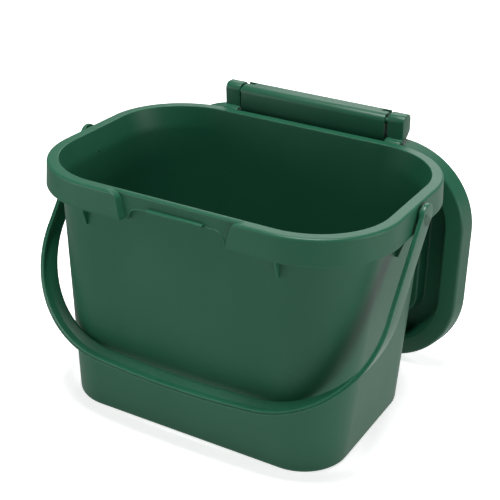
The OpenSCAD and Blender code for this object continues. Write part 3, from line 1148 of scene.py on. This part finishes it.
    def lug_outline(self) -> Path2:
        """Draws the side view of a lug: a foot on the skirt, an arm, and a head round the pin.

        Returns:
            Its points in [Y, Z].
        """
        lay, play = self.layout, self.layout.play
        y, z = lay.hinge.y, lay.hinge.z
        root, arm_rear = lay.rim_depth / 2 - self.wall / 2, lay.hang_front - play
        front = y - lay.pin_radius - self.lug_front
        foot, under = lay.neck_height + self.wall, lay.hang_top + self.lug_clear
        shoulder, head = lay.rim_height - self.arm_drop, z + lay.barrel_radius + self.lug_crown
        corners = [
            (root, foot, 0),
            (arm_rear, foot, 1 * MM),
            (arm_rear, lay.hang_top + play, 1 * MM),
            (y, under, 3 * MM),
            (y + 0.55 * self.lug_back, under, 3 * MM),
            (y + self.lug_back + 1.3 * MM, z - 8 * MM, 2.5 * MM),
            (y + self.lug_back + 0.6 * MM, head, 5 * MM),
            (front, head, 4.5 * MM),
            (front + 1.2 * MM, shoulder, 0.5 * MM),
            (arm_rear - 0.8 * MM, shoulder - play, 1 * MM),
            (root + 3 * MM, shoulder - 6 * MM, 0),
            (root, shoulder - 6 * MM, 0),
        ]
        return rounded_path(corners, closed=True)

    def lug(self, side: int) -> bpy.types.Object:
        """Builds one lug with its pin.

        Args:
            side: 1 for the right lug and -1 for the left one.

        Returns:
            The new object.
        """
        lay = self.layout
        ends = sorted((side * lay.lug_inner, side * lay.lug_span / 2))
        arm = prism("lug", self.lug_outline(), *ends, self.lug_round)
        reach = (lay.lug_inner - self.pin_length, lay.lug_inner + self.pin_root)
        return joined("lug", [arm, lathe("pin", [(x, lay.pin_radius) for x in reach], lay.hinge, side)])

    def rib_tree(self) -> Nodes:
        """Builds the tree that sets ribs in the corner between the walls and the skirt.

        Returns:
            The tree.
        """
        inputs = {"Places": "Object", "Web": "Object", "Thickness": "Float", "Material": "Material"}
        nodes = Nodes.group("skirt_ribs", "Geometry", inputs, {"Geometry": "Geometry"})
        given = nodes.add("NodeGroupInput").outputs
        read = "GeometryNodeInputNamedAttribute"
        turn, reach, drop = (
            nodes.add(read, {"Name": name}, data_type="FLOAT").outputs["Attribute"]
            for name in ("turn", "reach", "drop")
        )
        size = {"X": reach, "Y": given["Thickness"], "Z": drop}
        points = nodes.add("GeometryNodeMeshToPoints", {"Mesh": nodes.shape_of(given["Places"])})
        ribs = {
            "Points": points.outputs[0],
            "Instance": nodes.shape_of(given["Web"]),
            "Rotation": nodes.add("ShaderNodeCombineXYZ", {"Z": turn}).outputs[0],
            "Scale": nodes.add("ShaderNodeCombineXYZ", size).outputs[0],
        }
        nodes.put_out(nodes.add("GeometryNodeInstanceOnPoints", ribs).outputs[0], given["Material"])
        return nodes

    def rib_places(self) -> bpy.types.Object:
        """Sets out where the ribs stand, the way that each faces, its reach and its drop.

        Returns:
            An object with a point for each rib.
        """
        low, inset = self.layout.neck_height, self.rib_root * self.wall
        skirt = self.layout.skirt(low)
        ahead = self.layout.pivot.y - self.side_rib_ahead
        depth_reach = (skirt.depth - self.neck.depth - self.wall) / 2 + inset
        width_reach = (skirt.width - self.neck.width - self.wall) / 2 + inset
        rows = []
        for sign in (-1, 1):
            for end in (-1, 1):
                place = (sign * self.rib_x, end * (self.neck.depth / 2 - inset), low)
                rows.append((place, end * math.pi / 2, depth_reach, self.rib_drop))
            place = (sign * (self.neck.width / 2 - inset), ahead, low)
            rows.append((place, 0.0 if sign > 0 else math.pi, width_reach, self.side_rib_drop))
        places, *columns = (list(column) for column in zip(*rows))
        mesh = bpy.data.meshes.new("rib_places")
        mesh.from_pydata(places, [], [])
        for name, values in zip(("turn", "reach", "drop"), columns):
            mesh.attributes.new(name, "FLOAT", "POINT").data.foreach_set("value", values)
        return new_object("rib_places", mesh)

    def ribs(self, material: bpy.types.Material) -> bpy.types.Object:
        """Builds the ribs under the skirt.

        Args:
            material: Material of the body.

        Returns:
            The new object.
        """
        web = prism("rib_web", list(self.rib_web), -0.5, 0.5)
        web.data.transform(Matrix.Rotation(-math.pi / 2, 4, "Z"))
        values = {
            "Places": self.rib_places(),
            "Web": web,
            "Thickness": self.rib_thickness,
            "Material": material,
        }
        return grown_mesh("skirt_ribs", self.rib_tree(), values)

    def build(self, dresser: Dresser) -> None:
        """Builds and dresses all pieces of the body.

        Args:
            dresser: What gives each piece its material, body and slot.
        """
        shell = loft("caddy_body", self.outer_rings() + self.skirt_rings() + self.inner_rings())
        shell = flat_faced(carved(shell, [self.arch_cutter()]))
        dresser.dress(shell, Piece.BODY, stands_for_node=True)
        dresser.dress(joined("notch_ledge", [self.ledge(), self.arch_edge()]), Piece.BODY)
        dresser.dress(joined("hinge_lugs", [self.lug(-1), self.lug(1)]), Piece.BODY)
        dresser.dress(self.ribs(dresser.materials[Piece.BODY]), Piece.BODY)


# ---------------------------------------------------------------- the lid


@dataclass
class CaddyLid:
    """The recessed lid with its hinge bar, drawn closed and then turned to where it hangs.

    Args:
        layout: The shared sizes.
        outline: Outline of its lower edge; its middle follows from its rear edge.
        lean: Inward lean of its skirt on each side.
        wall: Wall thickness.
        edge_round: Rounding along its top edge.
        margin: Width of the flat margin round the recess.
        recess_depth: Depth of the recess.
        recess_lean: Inward lean of the recess wall.
        plate: Outline of the raised middle at its foot.
        plate_height: Height of the raised middle.
        plate_lean: Inward lean of its wall.
        plate_apron: Width of the flat drawn round the raised middle with its own outline.
        press_round: Rounding along the edges of the recess and the raised middle.
        tongue_half: Half width of the tongue at its front.
        tongue_thickness: Thickness of the tongue.
        tongue_foot: Height of the tongue's lower end when the lid is closed.
        bar_wall: Wall thickness of the hollow bar.
        bar_soft: Roundings of the bar's lower edge, of its ends and of the edges of its cuts.
        end_length: Length of each end of the bar, round the pin's bore.
        end_cut: How far a pocket in the rear of each of these ends reaches up from the bar's underside.
        pocket_length: Length of this pocket.
        pocket_depth: Depth of this pocket.
        bore_clear: Clearance round each pin in its bore.
    """

    layout: Layout
    outline: Section = Section(250.4 * MM, 171 * MM, 58.5 * MM)
    lean: float = 2.2 * MM
    wall: float = 2.2 * MM
    edge_round: float = 2 * MM
    margin: float = 13 * MM
    recess_depth: float = 13.8 * MM
    recess_lean: float = 2 * MM
    plate: Section = Section(188 * MM, 98 * MM, 18 * MM)
    plate_height: float = 10.8 * MM
    plate_lean: float = 1.5 * MM
    plate_apron: float = 4 * MM
    press_round: float = 1.5 * MM
    tongue_half: float = 18 * MM
    tongue_thickness: float = 1.7 * MM
    tongue_foot: float = 168.2 * MM
    bar_wall: float = 1.9 * MM
    bar_soft: tuple[float, float, float] = (0.8 * MM, 0.4 * MM, 0.3 * MM)
    end_length: float = 10 * MM
    end_cut: float = 5 * MM
    pocket_length: float = 6.3 * MM
    pocket_depth: float = 4 * MM
    bore_clear: float = 0.05 * MM

    def centred(self, section: Section) -> Section:
        """Returns a section moved to the middle of the closed lid."""
        return Section(*section.values()[:3], self.layout.lid_rear - self.outline.depth / 2)

    def hung(self, piece: bpy.types.Object) -> bpy.types.Object:
        """Turns what is drawn closed to where it hangs.

        Args:
            piece: The object.

        Returns:
            The same object.
        """
        there, back = (Matrix.Translation(sign * self.layout.hinge) for sign in (1, -1))
        piece.data.transform(there @ Matrix.Rotation(math.pi / 2, 4, "X") @ back)
        piece.data.update()
        return piece

    def shell(self) -> bpy.types.Object:
        """Builds the lid's skin, closed, from its hidden side over its skirt to its raised middle.

        Returns:
            The new object.
        """
        top, low = self.layout.lid_top, self.layout.lid_low
        floor = top - self.recess_depth
        edge, plate = self.centred(self.outline).grown(-self.lean), self.centred(self.plate)
        wall, soft, lean, apron = self.wall, self.press_round, self.plate_lean, self.plate_apron
        plate_top = floor + self.plate_height
        recess_foot = -self.margin - self.recess_lean
        inner_plate = [
            (-wall - lean - soft, plate_top - wall, 0),
            (-wall - lean, plate_top - wall, soft),
            (-wall, floor - wall, soft),
            (apron, floor - wall, 0),
        ]
        skirt_and_recess = [
            (recess_foot - apron, floor - wall, 0),
            (recess_foot + wall, floor - wall, soft + wall),
            (-self.margin + wall, top - wall, 0.8 * MM),
            (-wall, top - wall, 1.2 * MM),
            (self.lean - wall, low, 0.5 * MM),
            (self.lean, low, 0.5 * MM),
            (0, top, self.edge_round),
            (-self.margin, top, soft),
            (recess_foot, floor, soft),
            (recess_foot - apron, floor, 0),
        ]
        outer_plate = [
            (apron, floor, 0),
            (0, floor, soft),
            (-lean, plate_top, soft),
            (-lean - 2 * soft, plate_top, 0),
        ]
        rings = []
        for section, corners in ((plate, inner_plate), (edge, skirt_and_recess), (plate, outer_plate)):
            rings += [section.grown(out).ring(up) for out, up in rounded_path(corners)]
        return loft("caddy_lid", rings)

    def bar(self) -> bpy.types.Object:
        """Builds the hollow bar that turns on the pins.

        Returns:
            The new object.
        """
        lay, radius, wall = self.layout, self.layout.barrel_radius, self.bar_wall
        low, top = lay.lid_low, lay.lid_top
        half, rear = lay.lug_inner - lay.lug_gap, lay.hinge.y + radius
        front, hollow_front = lay.lid_rear - self.lean - self.wall, lay.lid_rear - self.wall / 2
        edge, end, cut_edge = self.bar_soft
        section = [(front, low, 0), (rear, low, edge), (rear, top, radius), (front, top, 0)]
        bar = prism("lid_bar", rounded_path(section, closed=True), -half, half, end)
        hollow = [
            (hollow_front, low - PAST, 0),
            (rear - wall, low - PAST, 0),
            (rear - wall, top - wall, radius - wall),
            (hollow_front, top - wall, edge),
        ]
        inner = half - self.end_length
        cutters = [prism("hollow", rounded_path(hollow, closed=True), -inner, inner)]
        deep, out = rear - self.pocket_depth, rear + PAST
        foot, roof = low + PAST, low + self.end_cut
        pocket = [(deep, foot), (out, foot), (out, roof), (deep, roof)]
        bore = [(x, lay.pin_radius + self.bore_clear) for x in (inner - PAST, half + PAST)]
        for side in (-1, 1):
            ends = sorted((side * (half - self.pocket_length), side * (half + PAST)))
            cutters.append(prism("pocket", pocket, *ends))
        cutters += [lathe("bore", bore, lay.hinge, side) for side in (-1, 1)]
        return softened(carved(bar, cutters), cut_edge)

    def tongue(self) -> bpy.types.Object:
        """Builds the tongue that drops into the notch.

        Returns:
            The new object.
        """
        lay, foot, soft = self.layout, self.tongue_foot, 0.5 * MM
        face = lay.lid_rear - self.outline.depth + lay.play
        low, high = lay.lid_low, lay.lid_low + self.wall
        rear, root = face + self.tongue_thickness, face + self.wall + self.lean
        corners = [(face, foot, soft), (rear, foot, soft), (rear, low, 0)]
        corners += [(root, low, 0), (root, high, 0), (face, high, soft)]
        outline = rounded_path(corners, closed=True)
        return prism("lid_tongue", outline, -self.tongue_half, self.tongue_half, 0.4 * MM)

    def build(self, dresser: Dresser) -> None:
        """Builds and dresses all pieces of the lid.

        Args:
            dresser: What gives each piece its material, body and slot.
        """
        dresser.dress(flat_faced(self.hung(self.shell())), Piece.LID, stands_for_node=True)
        dresser.dress(self.hung(self.bar()), Piece.LID)
        dresser.dress(self.hung(self.tongue()), Piece.LID)


# ---------------------------------------------------------------- the handle


@dataclass
class CarryHandle:
    """The swinging handle: a flat band from one stud round to the other.

    Args:
        layout: The shared sizes.
        body: The body that it rests against.
        arm_gap: Gap between each arm and the skirt's lower edge.
        band_thickness: Thickness of the band.
        band_width: Width of the band.
        band_slant: Slant of the band at the middle of the grip.
        bead: Width of the bead along the inside of the front edge.
        valley: Distances from the front edge to the two sides of the valley's floor and to its end.
        valley_depth: Depth of the valley.
        valley_round: Rounding of the valley's rear.
        groove: Distance of the front edge's groove from the inside, its width and its depth.
        edge_soft: Roundings of the band's rear edges, of its bead and of its crisp corners.
        reach: Distance from the pivot to the inside of the grip.
        bend_radius: Radius of the two corners.
        bow_radius: Radius of the slight bow along the grip.
        end_radius: Radius of the rounded arm ends.
        stud_radius: Radius of each stud.
        stud_hole: Radius of the fine hollow along each stud's axis.
        collar_radius: Radius of each stud's collar.
        head_lip: Height of each stud's head over the stud.
        head_thickness: Thickness of each stud's head.
        pad: Thickness of the skirt's wall and pad, behind which the head lies.
    """

    layout: Layout
    body: CaddyBody
    arm_gap: float = 1.2 * MM
    band_thickness: float = 3 * MM
    band_width: float = 14.4 * MM
    band_slant: float = math.radians(37)
    bead: float = 1.7 * MM
    valley: tuple[float, float, float] = (2.3 * MM, 7 * MM, 12.8 * MM)
    valley_depth: float = 2.1 * MM
    valley_round: float = 3 * MM
    groove: tuple[float, float, float] = (1.1 * MM, 0.8 * MM, 0.6 * MM)
    edge_soft: tuple[float, float, float] = (0.9 * MM, 0.7 * MM, 0.4 * MM)
    reach: float = 145 * MM
    bend_radius: float = 75 * MM
    bow_radius: float = 690 * MM
    end_radius: float = 7.8 * MM
    stud_radius: float = 4 * MM
    stud_hole: float = 0.1 * MM
    collar_radius: float = 6.2 * MM
    head_lip: float = 0.9 * MM
    head_thickness: float = 1.4 * MM
    pad: float = 4.3 * MM

    @property
    def arm_x(self) -> float:
        """X of the inside of the right arm."""
        return self.layout.skirt(self.layout.neck_height).width / 2 + self.arm_gap

    @property
    def bend_x(self) -> float:
        """X of the middle of the right bend."""
        return self.arm_x - self.bend_radius

    @property
    def bend_start(self) -> float:
        """Distance from the pivot to where each bend begins."""
        rise = math.sqrt((self.bow_radius - self.bend_radius) ** 2 - self.bend_x**2)
        return self.reach - self.bow_radius + rise

    @cached_property
    def tilt(self) -> float:
        """Angle from the vertical at which the grip rests against the front wall."""
        base, pivot, half = self.body.base, self.layout.pivot, self.band_width / 2
        lean = (self.body.neck.depth / 2 - base.depth / 2 + base.middle) / self.layout.neck_height
        turn = math.asin((base.width / 2 - base.radius - self.bend_x) / self.bend_radius)
        slant = self.band_slant * math.cos(turn)
        across = half * math.cos(slant)
        down = self.bend_start + self.bend_radius * math.cos(turn) - half * math.sin(slant)
        arm = pivot.y + base.depth / 2 - base.middle + lean * pivot.z + self.layout.play
        whole = math.hypot(down, across) * math.hypot(1, lean)
        return math.asin(arm / whole) - math.atan(lean) + math.atan2(across, down)

    def line(self, arm_steps: int = 8, bend_steps: int = 40, bow_steps: int = 14) -> Path2:
        """Draws the inside of the band in the handle's own plane.

        Args:
            arm_steps: Number of stretches along each arm.
            bend_steps: Number of stretches round each bend.
            bow_steps: Number of stretches along each half of the bow.

        Returns:
            Its points as [X, distance from the pivot], from left to right.
        """
        bend, bow, start = self.bend_radius, self.bow_radius, self.bend_start
        last = math.asin(self.bend_x / (bow - bend))
        half = [(self.arm_x, start * step / arm_steps) for step in range(arm_steps)]
        for step in range(bend_steps + 1):
            turn = math.pi / 2 - (math.pi / 2 - last) * step / bend_steps
            half.append((self.bend_x + bend * math.sin(turn), start + bend * math.cos(turn)))
        for step in range(1, bow_steps + 1):
            turn = last * (1 - step / bow_steps)
            half.append((bow * math.sin(turn), self.reach - bow + bow * math.cos(turn)))
        return [(-x, down) for x, down in half[:-1]] + half[::-1]

    def profile(self) -> Path2:
        """Draws the band's section, with a grooved front edge and a valley behind a bead.

        Returns:
            Its points as [outward, backward].
        """
        edge, thick, deep = self.band_width / 2, self.band_thickness, self.valley_depth
        soft, bead, crisp = self.edge_soft
        start, width, cut = self.groove
        floor_front, floor_rear, end = self.valley
        corners = [
            (0, -edge, bead),
            (start, -edge, crisp / 2),
            (start + width / 2, cut - edge, crisp / 2),
            (start + width, -edge, crisp / 2),
            (thick, -edge, crisp),
            (thick, edge, soft),
            (0, edge, soft),
            (0, end - edge, self.valley_round),
            (deep, floor_rear - edge, self.valley_round),
            (deep, floor_front - edge, crisp),
            (0, self.bead - edge, bead),
        ]
        return rounded_path(corners, closed=True)

    def placed(self, x: float, down: float) -> Vector:
        """Returns where a point of the handle's own plane lies in the frame."""
        return self.layout.pivot + Vector((x, -down * math.sin(self.tilt), -down * math.cos(self.tilt)))

    def sweep_tree(self) -> Nodes:
        """Builds the tree that sweeps the band's section along its line, slanted where it runs across.

        Returns:
            The tree.
        """
        inputs = {"Line": "Object", "Section": "Object", "Slant": "Float", "Plane": "Vector"}
        inputs["Material"] = "Material"
        nodes = Nodes.group("band_sweep", "Geometry", inputs, {"Geometry": "Geometry"})
        given = nodes.add("NodeGroupInput").outputs
        tangent = nodes.add("GeometryNodeInputTangent").outputs[0]
        sides = {0: given["Plane"], 1: tangent}
        outward = nodes.add("ShaderNodeVectorMath", sides, operation="CROSS_PRODUCT").outputs[0]
        across = nodes.add("ShaderNodeSeparateXYZ", {0: tangent}).outputs["X"]
        slant = nodes.math("MULTIPLY", nodes.math("ABSOLUTE", across), given["Slant"])
        facing = {"Curve": nodes.shape_of(given["Line"]), "Normal": outward}
        faced = nodes.add("GeometryNodeSetCurveNormal", facing, mode="FREE").outputs[0]
        tilted = nodes.add("GeometryNodeSetCurveTilt", {"Curve": faced, "Tilt": slant}).outputs[0]
        sweep = {"Curve": tilted, "Profile Curve": nodes.shape_of(given["Section"]), "Fill Caps": True}
        nodes.put_out(nodes.add("GeometryNodeCurveToMesh", sweep).outputs[0], given["Material"])
        return nodes

    def band(self, material: bpy.types.Material) -> bpy.types.Object:
        """Builds the band.

        Args:
            material: Material of the handle.

        Returns:
            The new object.
        """
        section = [(out, back, 0) for out, back in self.profile()]
        values = {
            "Line": poly_curve("band_line", [self.placed(x, down) for x, down in self.line()]),
            "Section": poly_curve("band_section", section, closed=True),
            "Slant": self.band_slant,
            "Plane": Vector((0, math.cos(self.tilt), -math.sin(self.tilt))),
            "Material": material,
        }
        return grown_mesh("carry_handle", self.sweep_tree(), values)

    def stud(self, side: int) -> bpy.types.Object:
        """Builds one arm end with its collar, stud and head.

        Args:
            side: 1 for the right arm and -1 for the left one.

        Returns:
            The new object.
        """
        lay, play, radius, collar = self.layout, self.layout.play, self.stud_radius, self.collar_radius
        neck = lay.skirt(lay.neck_height).width / 2 - self.pad - play
        tip = neck - self.head_thickness
        skirt = lay.skirt(lay.pivot.z - collar).width / 2 + play
        outer = self.arm_x + self.band_thickness
        soft, _, crisp = self.edge_soft
        corners = [
            (tip, self.stud_hole, 0),
            (tip, radius, crisp),
            (neck, radius + self.head_lip, crisp / 2),
            (neck, radius, 0),
            (skirt, radius, 0),
            (skirt, collar, crisp / 2),
            (self.arm_x, collar, 0),
            (self.arm_x, self.end_radius, soft / 2),
            (outer, self.end_radius, soft),
            (outer, self.stud_hole, 0),
        ]
        return lathe("stud", rounded_path(corners), lay.pivot, side)

    def build(self, dresser: Dresser) -> None:
        """Builds and dresses all pieces of the handle.

        Args:
            dresser: What gives each piece its material, body and slot.
        """
        band = self.band(dresser.materials[Piece.HANDLE])
        dresser.dress(band, Piece.HANDLE, stands_for_node=True)
        dresser.dress(joined("handle_studs", [self.stud(-1), self.stud(1)]), Piece.HANDLE)


# ---------------------------------------------------------------- camera, light and floor


@dataclass(frozen=True)
class Camera:
    """The camera at the photograph's viewing angle.

    Args:
        azimuth: Turn about Z from the front, in degrees.
        elevation: Height above the horizon, in degrees.
        roll: Turn about its own axis, in degrees.
        distance: Distance from its target.
        target: The point at the middle of the picture.
        lens: Focal length in millimetres.
        sensor: Width of the sensor in millimetres.
    """

    azimuth: float = 29.0973
    elevation: float = 26.2202
    roll: float = 1.42455
    distance: float = 0.8068
    target: tuple[float, float, float] = (0.004873, 0.002712, 0.110747)
    lens: float = 85.04
    sensor: float = 36.0

    def build(self) -> None:
        """Places the camera and makes it the scene's own."""
        turn, rise, roll = (math.radians(value) for value in (self.azimuth, self.elevation, self.roll))
        right = Vector((math.cos(turn), math.sin(turn), 0))
        level = Vector((math.sin(turn), -math.cos(turn), 0))
        back = level * math.cos(rise) + Vector((0, 0, math.sin(rise)))
        above = back.cross(right)
        rolled = right * math.cos(roll) + above * math.sin(roll)
        upright = above * math.cos(roll) - right * math.sin(roll)
        data = bpy.data.cameras.new("camera")
        data.lens, data.sensor_width, data.sensor_fit = self.lens, self.sensor, "HORIZONTAL"
        data.clip_start, data.clip_end = 0.01, 50.0
        camera = new_object("camera", data)
        facing = Matrix((rolled, upright, back)).transposed().to_4x4()
        camera.matrix_world = Matrix.Translation(Vector(self.target) + back * self.distance) @ facing
        bpy.context.scene.camera = camera


@dataclass(frozen=True)
class SoftBox:
    """A large soft lamp that looks at the caddy.

    Args:
        name: Name of the lamp.
        place: Where it stands.
        size: Width and height.
        power: Power in watts.
        aim: Height of the point that it looks at.
    """

    name: str
    place: tuple[float, float, float]
    size: tuple[float, float]
    power: float
    aim: float = 0.1

    def build(self) -> None:
        """Places the lamp."""
        data = bpy.data.lights.new(self.name, "AREA")
        data.shape, data.energy = "RECTANGLE", self.power
        data.size, data.size_y = self.size
        lamp = new_object(self.name, data)
        way = Vector((0, 0, self.aim)) - Vector(self.place)
        lamp.rotation_euler = way.to_track_quat("-Z", "Y").to_euler()
        lamp.location = self.place
        lamp.visible_camera = False


@dataclass(frozen=True)
class Studio:
    """The plain studio: a pale floor, a white background and soft lamps.

    Args:
        floor_half: Half width of the floor.
        floor_colour: Grey of the floor as light bounces off it.
        floor_glow: Light that the floor gives off, as a lit table does.
        floor_seen: Strengths at which the camera sees the floor near the caddy and far from it.
        floor_near: Distances from the middle between which this changes.
        ambient: Strength of the even light from all round.
        reflected: Strength at which reflections show the surroundings.
        floor_reflected: Strengths at which they show the floor at its dimmer and its brighter side.
        floor_grading: Way across the floor along which it brightens.
        floor_graded: Distances along this way between which it brightens.
        lamps: The soft lamps.
    """

    floor_half: float = 3.0
    floor_colour: float = 0.85
    floor_glow: float = 0.42
    floor_seen: tuple[float, float] = (0.75, 1.0)
    floor_near: tuple[float, float] = (0.45, 1.1)
    ambient: float = 0.05
    reflected: float = 0.25
    floor_reflected: tuple[float, float] = (0.2, 0.8)
    floor_grading: tuple[float, float, float] = (0.48, 0.87, 0.0)
    floor_graded: tuple[float, float] = (-0.35, 0.15)
    lamps: tuple[SoftBox, ...] = (
        SoftBox("front", (-0.75, -0.8, 0.22), (0.8, 0.4), 3.8),
        SoftBox("side", (1.8, 0.2, 0.27), (1.0, 0.45), 10.5),
        SoftBox("top", (0.05, -0.2, 2.2), (0.8, 0.5), 60.0),
        SoftBox("rear", (-0.4, 2.2, 1.3), (2.0, 1.0), 18.0),
    )

    def background(self) -> None:
        """Builds the even light, which shows as white behind the caddy."""
        world = bpy.data.worlds.new("studio")
        nodes = Nodes.of(world)
        seen, reflection = nodes.rays()
        even, mirrored, white = (
            nodes.add("ShaderNodeBackground", {"Color": WHITE, "Strength": level}).outputs[0]
            for level in (self.ambient, self.reflected, 1.0)
        )
        mix = nodes.shader_mix(seen, nodes.shader_mix(reflection, even, mirrored), white)
        nodes.add("ShaderNodeOutputWorld", {"Surface": mix})
        bpy.context.scene.world = world

    def floor_material(self) -> bpy.types.Material:
        """Builds the floor's material, which shows as white except where the caddy shades it.

        Returns:
            The material.
        """
        material = bpy.data.materials.new("floor")
        nodes = Nodes.of(material)
        seen, reflection = nodes.rays()
        place = nodes.add("ShaderNodeNewGeometry").outputs["Position"]
        away = nodes.add("ShaderNodeVectorMath", {0: place}, operation="LENGTH").outputs["Value"]
        shown = nodes.math("MULTIPLY", seen, nodes.graded(away, self.floor_near, self.floor_seen))
        along = {0: place, 1: self.floor_grading}
        across = nodes.add("ShaderNodeVectorMath", along, operation="DOT_PRODUCT").outputs["Value"]
        strengths = (
            nodes.math("MAXIMUM", shown, self.floor_glow),
            nodes.graded(across, self.floor_graded, self.floor_reflected),
        )
        glow, mirrored = (
            nodes.add("ShaderNodeEmission", {"Color": WHITE, "Strength": strength}).outputs[0]
            for strength in strengths
        )
        grey = (self.floor_colour, self.floor_colour, self.floor_colour, 1)
        plain = nodes.add("ShaderNodeBsdfDiffuse", {"Color": grey}).outputs[0]
        lit = nodes.add("ShaderNodeAddShader", {0: plain, 1: glow}).outputs[0]
        nodes.add("ShaderNodeOutputMaterial", {"Surface": nodes.shader_mix(reflection, lit, mirrored)})
        return material

    def floor(self) -> None:
        """Builds the floor."""
        half = self.floor_half
        mesh = bpy.data.meshes.new("floor")
        corners = [(-half, -half, 0), (half, -half, 0), (half, half, 0), (-half, half, 0)]
        mesh.from_pydata(corners, [], [(0, 1, 2, 3)])
        mesh.materials.append(self.floor_material())
        floor = new_object("floor", mesh)

    def build(self) -> None:
        """Builds the whole studio."""
        bpy.context.scene.view_settings.view_transform = "Standard"
        self.background()
        self.floor()
        for lamp in self.lamps:
            lamp.build()


def main() -> None:
    """Builds the studio and then the caddy, one moulding after another."""
    logging.basicConfig(level=logging.INFO, format="%(name)s: %(message)s")
    Camera().build()
    Studio().build()
    dresser = Dresser(Finishes().build())
    layout = Layout()
    body = CaddyBody(layout)
    for moulding in (body, CaddyLid(layout), CarryHandle(layout, body)):
        moulding.build(dresser)


if __name__ == "__main__":
    main()
